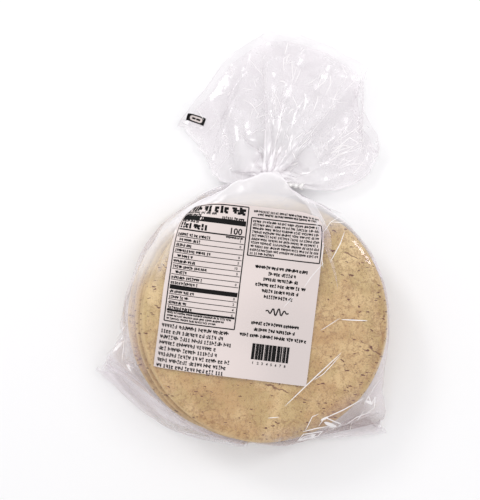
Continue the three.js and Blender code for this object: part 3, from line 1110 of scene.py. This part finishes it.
SIGNS = (
    ((0.1, 0, 0.1, 1), (0.1, 0.45, 0.9, 0.45), (0.9, 0.45, 0.9, 0.8)),
    ((0.9, 0, 0.9, 1), (0.1, 0.9, 0.9, 0.9), (0.15, 0.4, 0.15, 0.65)),
    ((0.15, 0.2, 0.15, 1), (0.15, 0.95, 0.9, 0.95), (0.65, 0.2, 0.65, 0.6)),
    ((0.1, 0.1, 0.9, 0.1), (0.5, 0.1, 0.5, 0.6), (0.1, 0.95, 0.9, 0.95)),
    ((0.1, 0.1, 0.1, 0.7), (0.5, 0.35, 0.5, 1), (0.9, 0.1, 0.9, 0.7)),
    ((0.1, 0.6, 0.9, 0.6), (0.8, 0.1, 0.8, 1), (0.2, 0.1, 0.2, 0.4)),
    ((0.5, 0.05, 0.5, 1), (0.1, 0.95, 0.9, 0.95), (0.1, 0.3, 0.5, 0.3)),
)
print("signs that lines of type are drawn from:", len(SIGNS))


def type_line(x, y, width, height, weight, seed, centred=False):
    """A line of marks the size of type, in groups the size of words."""
    draw = np.random.default_rng(seed)
    place = x - width / 2 if centred else x
    end = place + width
    sign_width = height * 0.54
    while place < end - sign_width:
        for _ in range(draw.integers(2, 8)):
            if place > end - sign_width:
                break
            for x0, y0, x1, y1 in SIGNS[draw.integers(len(SIGNS))]:
                stroke(
                    place + x0 * sign_width, y + (y0 - 0.5) * height,
                    place + x1 * sign_width, y + (y1 - 0.5) * height, weight,
                )
            place += sign_width * 1.3
        place += sign_width * 0.75


# %% The layout of the print
ROW_PITCH = 4.35
BLOCKS = (
    (5.5, 92.9, 2.4, 1.5, 0.32, 40, False, (52, 46, 40)),
    (2.5, 103.6, 4.62, 3.0, 0.42, 50, False, (55, 50, 58, 46, 48, 59, 57, 55)),
    (93, 3.8, 2.5, 1.7, 0.38, 60, True, (56, 49)),
    (65.2, 11.8, 2.85, 1.9, 0.33, 70, False, (*[55] * 9, 20)),
    (93, 47.6, 4.62, 2.5, 0.5, 80, True, (44, 22, 29, 40, 29, 24)),
    (92.5, 92.4, 5.1, 2.5, 0.5, 90, True, (38, 33, 54)),
)
box_lines(3.8, 1.6, 60.5, 100, 0.5)
type_line(5.5, 5.2, 54, 5.6, 1.15, 1)
type_line(5.5, 9.6, 30, 1.9, 0.35, 2)
type_line(5.5, 12.2, 17, 2.1, 0.45, 3)
type_line(40, 12.2, 18, 2.1, 0.45, 4)
stroke(5, 15.2, 59.6, 15.2, 2.3)
type_line(5.5, 18.0, 17, 1.9, 0.4, 5)
type_line(5.5, 21.8, 24, 4.0, 0.95, 6)
stroke(5, 25.7, 59.6, 25.7, 0.6)
type_line(45, 27.2, 14, 1.6, 0.4, 7)
for number in range(10):
    y = 29.6 + number * ROW_PITCH
    width = 20 + 9 * math.sin(2.3 * number + 1)
    type_line(5.5 + 2.5 * (number % 3 == 1), y, width, 2.2, 0.42, 10 + number)
    stroke(5, y + 2.1, 59.6, y + 2.1, 0.3)
stroke(5, 72.4, 59.6, 72.4, 2.0)
for number in range(4):
    y = 75.9 + number * ROW_PITCH
    type_line(5.5, y, 17 + 3 * math.cos(2 * number), 2.2, 0.42, 30 + number)
    stroke(5, y + 2.1, 59.6, y + 2.1, 0.3 + 0.6 * (number == 3))
box_lines(63.6, 9.4, 121.6, 39.6, 0.5)
for x, y, pitch, height, weight, seed, centred, widths in BLOCKS:
    for number, width in enumerate(widths):
        type_line(x, y + pitch * number, width, height, weight, seed + number, centred)
flourish = np.linspace(0, 1, 41)
flourish_x = 83.5 + 18.5 * flourish
flourish_y = 82 - 3 * np.sin(8 * math.pi * flourish) * np.sin(math.pi * flourish)
for k in range(40):
    stroke(flourish_x[k], flourish_y[k], flourish_x[k + 1], flourish_y[k + 1], 0.6)
bars = np.random.default_rng(12)
place = 77.0
while place < 106:
    weight = bars.choice([0.35, 0.35, 0.7, 1.0])
    stroke(place, 108.8, place, 121.6, weight)
    place += weight / 2 + bars.choice([0.55, 0.8, 1.2])
print("pieces of stroke:", len(ink_x) // 4)


# %% Plain numbers
def figures(text, x, y, height):
    """Plain figures whose top left corner is at a place on the panel, as flat faces."""
    bpy.ops.object.text_add(location=(0, 0, 0))
    letters = bpy.context.active_object
    letters.data.body = text
    letters.data.resolution_u = 2
    letters.data.offset = 0.025
    only(letters)
    bpy.ops.object.convert(target="MESH")
    letters = bpy.context.active_object
    points = points_of(letters)
    size = height / np.ptp(points[:, 1])
    points = (points - [points[:, 0].min(), points[:, 1].max(), 0]) * size
    set_points(letters, to_row(on_panel(x + points[:, 0], y - points[:, 1], INK_DEPTH)))
    return letters


ink_points = on_panel(np.array(ink_x), np.array(ink_y), INK_DEPTH)
ink = new_mesh("print_ink", to_row(ink_points), np.arange(len(ink_points)).reshape(-1, 4))
marks = [figures("100", 48.0, 19.4, 5.4)]
for number, text in enumerate(("1", "0", "", "0", "5", "10", "5", "", "0", "")):
    if text:
        marks.append(figures(text, 56.6 - 1.7 * (len(text) - 1), 28.6 + number * ROW_PITCH, 2.1))
for number in range(4):
    marks.append(figures(str(2 * number), 56.6, 74.9 + number * ROW_PITCH, 2.1))
for number in range(8):
    marks.append(figures(str(number + 1), 78 + 3.6 * number, 123.2, 2.2))
join(ink, marks)
ink.data.materials.clear()
black_ink = Finish("black_ink")
black_ink.coat(ink, Base_Color=sight(12, 10, 11), Roughness=0.5, Specular_IOR_Level=0.15)
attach(ink, "root")
print("ink faces:", len(ink.data.polygons))

# %% [markdown]
# Near the free end's left corner is a small dark mark. A bag machine's sensor looks for such
# a mark to know where to cut. It is a dark plate with a pale rounded field and two short bars.

# %% The cutting mark
MARK_PLACE = (-78, 156)
MARK_TURN = math.radians(-68)
MARK_WIDTH = 20
MARK_HEIGHT = 6.4
FIELD_WIDTH = 13.5
FIELD_HEIGHT = 4.2
MARK_BAR_HEIGHT = 1.5
to_mark = np.hypot(film[..., 0] - MARK_PLACE[0], film[..., 1] - MARK_PLACE[1])
to_mark[:, ~on_top] = 1e3
mark_row, mark_column = np.unravel_index(to_mark.argmin(), to_mark.shape)
mark_u, mark_v = around_mm[mark_row, mark_column], along_mm[mark_row, mark_column]
print("the mark's place on the flat film, in mm:", round(mark_u), round(mark_v))


def on_mark(x, y, depth):
    """Points on the film from the mark's middle, in millimetres."""
    x, y = np.asarray(x), np.asarray(y)
    right = x * math.cos(MARK_TURN) - y * math.sin(MARK_TURN)
    up = x * math.sin(MARK_TURN) + y * math.cos(MARK_TURN)
    return to_row(on_film(mark_u + right, mark_v + up, depth))


def mark_sheet(name, width, height, depth, shift=0.0, rounded=False):
    """A small grid laid on the film, shifted from the mark's middle, its ends round or square."""
    sheet, spots = flat_grid(name, 28, 12)
    x, y = spots[:, 0] * width, spots[:, 1] * height
    if rounded:
        round_end = height / 2 - np.sqrt(np.maximum(height**2 / 4 - y**2, 0))
        x *= 1 - round_end / (width / 2)
    set_points(sheet, on_mark(x + shift, y, depth))
    return sheet


plate = mark_sheet("mark_plate", MARK_WIDTH, MARK_HEIGHT, -0.1)
field = mark_sheet("mark_field", FIELD_WIDTH, FIELD_HEIGHT, -0.2, rounded=True)
bars_of_mark = [
    mark_sheet("mark_bar", width, MARK_BAR_HEIGHT, -0.3, shift)
    for shift, width in ((-2.6, 3.6), (2.2, 4.4))
]
join(plate, bars_of_mark)
plate.data.materials.append(ink.data.materials[0])
field.data.materials.append(panel.data.materials[0])
for piece, slot in ((plate, "print_ink"), (field, "print_white")):
    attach(piece, "root")
print("mark faces:", len(plate.data.polygons) + len(field.data.polygons))

# %% [markdown]
# ## Creases
# Where film was once folded sharply it keeps a white line, and where a crease meets the light it
# shows a bright glint, both far thinner than the net of the bag. So each line is a tapered white
# ribbon laid on the film, as the ink is: partly the film's real whitening and partly a painted
# highlight. Those over the breads come from handling: a few long ones, and crumpled corners at
# the lower right. On the free end they are scattered, and in its right lobe they run out from
# the bunch, close together.

# %% Crease lines
CREASE_STEP = 1.2
CREASE_LIFT = 0.3
crease_points, crease_faces = [], []
bag_surface = BVHTree.FromPolygons(
    [vertex.co for vertex in bag.data.vertices], [face.vertices for face in bag.data.polygons]
)
print("faces that creases can lie on:", len(bag.data.polygons))


def on_outside(places):
    """Points just above the highest ply of film, from places seen from above."""
    lifted = []
    for x, y in places:
        hit = bag_surface.ray_cast(at_stack(x, y, 100), (0, 0, -1))[0]
        lifted.append((x, y, (hit.z / MM if hit else 0) + CREASE_LIFT))
    return lifted


def crease(corners, width, seen=False):
    """A tapered ribbon through corners given on the flat film, or as seen from above, in mm."""
    corners = np.array(corners, float)
    ends = distances(corners)
    count = max(4, round(ends[-1] / CREASE_STEP))
    share = np.linspace(0, 1, count + 1)
    line = np.stack([np.interp(share * ends[-1], ends, corners[:, k]) for k in (0, 1)], axis=-1)
    ahead = np.gradient(line, axis=0)
    side = np.stack([-ahead[:, 1], ahead[:, 0]], axis=-1)
    side /= np.maximum(np.linalg.norm(side, axis=1, keepdims=True), 1e-6)
    side *= width / 2 * np.sqrt(np.maximum(4 * share * (1 - share), 0.01))[:, None]
    start = len(crease_points)
    places = np.concatenate([line + side, line - side])
    if seen:
        crease_points.extend(on_outside(places))
    else:
        crease_points.extend(on_film(*places.T, -CREASE_LIFT).tolist())
    for k in range(start, start + count):
        crease_faces.append((k, k + 1, k + count + 2, k + count + 1))


# %% Creases from handling
# Each row: width, then corners seen from above, in mm; white partly real, partly painted
# highlight.
HANDLED = (
    (0.9, (64, -17), (47, -38), (25, -66)), (0.6, (63, -20), (52, -36), (45, -42)),
    (1.0, (60, 9), (81, 11)), (0.5, (45, -2), (59, 10)), (0.6, (13, -77), (22, -75)),
    (0.9, (56, -72), (72, -62), (88, -50)), (0.9, (42, -84), (52, -80), (62, -77)),
    (1.0, (39, -93), (43, -86), (58, -82), (55, -87), (45, -90), (39, -93)),
    (3.4, (40, -92), (53, -85)), (2.2, (44, -90), (55, -87)),
    (0.9, (54, -78), (58, -70), (65, -72), (72, -74), (70, -79), (61, -77)),
    (3.0, (58, -74), (69, -77)), (1.8, (55, -73), (61, -69)),
    (1.0, (88, -56), (91, -49), (95, -56), (98, -50), (98, -59), (92, -63)),
    (2.2, (89, -53), (96, -56)), (0.8, (76, -75), (84, -67), (96, -62)),
    (0.8, (83, -84), (86, -68), (89, -61)), (0.7, (101, -33), (95, -41), (92, -49)),
    (0.6, (100, -14), (100, -25), (96, -35)), (0.6, (44, -83), (48, -71), (53, -68)),
    (0.6, (66, -85), (71, -77), (82, -74)), (0.8, (53, 79), (51, 69), (45, 53)),
    (0.7, (38, 68), (38, 55), (40, 48)), (0.7, (40, 52), (32, 40), (27, 30)),
    (0.6, (20, 22), (13, 12)), (0.7, (31, 102), (41, 98), (53, 95)),
    (0.6, (49, 91), (41, 85), (36, 75)), (0.6, (41, 85), (52, 86)),
    (0.8, (-120, -36), (-111, -20)), (0.6, (-127, -50), (-117, -38), (-110, -34)),
    (2.4, (-119, -44), (-113, -36)), (1.6, (-106, -52), (-101, -57)),
    (0.6, (-112, -30), (-110, -52)),
)
for width, *corners in HANDLED:
    crease(corners, width, seen=True)
print("creases from handling:", len(HANDLED))

# %% Scattered creases
draw = np.random.default_rng(31)


def scatter(count, across, along, turn, spread, length, widths):
    """Random creases whose direction is close to a turn, 90 degrees being away from the seal."""
    for _ in range(count):
        u, v = draw.uniform(*across), draw.uniform(*along)
        heading = math.radians(turn + draw.normal(0, spread))
        reach_out = draw.uniform(*length)
        kink = heading + draw.normal(0, 0.45)
        middle_u = u + reach_out * 0.6 * math.cos(heading)
        middle_v = v + reach_out * 0.6 * math.sin(heading)
        end_u = middle_u + reach_out * 0.4 * math.cos(kink)
        end_v = middle_v + reach_out * 0.4 * math.sin(kink)
        if max(middle_v, end_v) < FILM_LENGTH - 3 and 4 < end_u < FILM_WIDTH - 4:
            crease(((u, v), (middle_u, middle_v), (end_u, end_v)), draw.uniform(*widths))


NECK_END, MOUTH = NECK_LENGTH + 6, FILM_LENGTH - 6
# Scattered creases: white partly real, partly painted highlights.
scatter(44, (14, 190), (NECK_END + 14, MOUTH), 90, 34, (7, 24), (0.5, 1.0))
scatter(26, (14, 190), (NECK_END + 14, MOUTH), 0, 40, (5, 14), (0.5, 0.9))
scatter(46, (188, 262), (NECK_END + 4, MOUTH - 20), 90, 12, (14, 44), (0.5, 0.9))
scatter(30, (188, 262), (NECK_END + 20, MOUTH), 30, 50, (5, 14), (0.5, 0.9))
scatter(34, (10, 262), (NECK_END - 4, NECK_END + 8), 90, 7, (12, 36), (0.6, 1.0))
scatter(12, (20, 240), (NECK_END + 18, MOUTH - 8), 90, 60, (4, 7), (1.8, 3.2))
# The ribbons' white is partly the film's real whiteness at folds and partly painted highlights.
creases = new_mesh("film_crease_glints", to_row(crease_points), crease_faces)
crease_glint_white = Finish("crease_glint_film")
crease_glint_white.coat(creases, Base_Color=sight(255, 252, 252), Roughness=0.25, Alpha=0.8)
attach(creases, "root")
print("crease faces:", len(creases.data.polygons))

# %% [markdown]
# ## The twist tie
# The tie is a strip of white paper with a wire along its middle. Its two halves pass over and
# under the bunch, lie back to back beside it, and are twisted together, with the tips apart.

# %% Half a tie
TIE_WIDTH = 4.0
TIE_PAPER = 0.35
TIE_TAIL = 21
TIE_PITCH = 9.0
TIE_STEPS = 240
ring_radius = (tie_high.z - tie_low.z) / 2 / MM
ring_middle = np.array((tie_low + tie_high) / 2) / MM
ring_middle[0] = tie_low.x / MM + ring_radius
print("outer radius of the tie's loop, in mm:", round(ring_radius, 1))


def tie_half(name, side):
    """The half of the strip that passes over the bunch, or under it if side is -1."""
    turns = np.radians(np.linspace(180, 35, 60))
    loop = ring_radius - 0.5
    leaving = np.array([loop * math.cos(turns[-1]), loop * math.sin(turns[-1])])
    joined = np.array([loop + 4.5, 0.45])
    t = np.linspace(0, 1, 31)[1:, None]
    curve = (2 * t**3 - 3 * t**2 + 1) * leaving + (t**3 - 2 * t**2 + t) * np.array([3.4, -4.9])
    curve += (3 * t**2 - 2 * t**3) * joined + (t**3 - t**2) * np.array([6, 0])
    tail_x = np.linspace(joined[0], loop + TIE_TAIL, 100)[1:]
    path_x = np.concatenate([loop * np.cos(turns), curve[:, 0], tail_x])
    path_z = np.concatenate([loop * np.sin(turns), curve[:, 1], np.zeros(len(tail_x))])
    in_tail = np.clip(path_x - joined[0], 0, None) * (np.arange(len(path_x)) > 60)
    ahead = np.stack([np.gradient(path_x), np.gradient(path_z)], axis=-1)
    ahead /= np.linalg.norm(ahead, axis=1, keepdims=True)
    twist = side * 2 * math.pi * in_tail / TIE_PITCH
    apart = np.where(in_tail > 0, 0.45 + 0.35 * np.clip(in_tail - (TIE_TAIL - 10), 0, None), 0)
    level = ahead[:, 0]
    out = np.stack([-ahead[:, 1], np.sin(twist) * level, np.cos(twist) * level], axis=-1)
    wide = np.stack([0 * twist, np.cos(twist), -np.sin(twist)], axis=-1)
    centre = np.stack([path_x, 0 * path_x, path_z], axis=-1) + out * apart[:, None]
    strip, spots = flat_grid(name, TIE_STEPS, 8)
    place = (spots[:, 0] + 0.5) * (len(path_x) - 1)
    across = spots[:, 1] * TIE_WIDTH

    def at_place(values):
        steps = np.arange(len(path_x))
        return np.stack([np.interp(place, steps, values[:, k]) for k in range(3)], axis=-1)

    wire = 0.4 * np.exp(-((across / 0.55) ** 2))
    points = at_place(centre) + at_place(wide) * across[:, None] + at_place(out) * wire[:, None]
    points[:, 2] *= side
    set_points(strip, (points + ring_middle) * MM)
    only(strip)
    paper_modifier = strip.modifiers.new("paper", "SOLIDIFY")
    paper_modifier.thickness = TIE_PAPER * MM
    paper_modifier.offset = 0
    bpy.ops.object.modifier_apply(modifier="paper")
    in_edit_mode(strip)
    bpy.ops.mesh.normals_make_consistent(inside=False)
    out_of_edit_mode()
    bpy.ops.object.shade_smooth_by_angle(angle=math.radians(40))
    return strip


# %% Both halves
tie = tie_half("tie_strip", 1)
join(tie, [tie_half("tie_strip_under", -1)])
tie_paper = Finish("tie_paper")
tie_paper.coat(tie, Base_Color=sight(250, 249, 247), Roughness=0.45)
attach(tie, "root")
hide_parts("twist_tie")
print("tie faces:", len(tie.data.polygons))

# %% The sheet's real size
print("flat size of the tube, in mm:", 2 * FILM_WIDTH, "x", FILM_LENGTH)
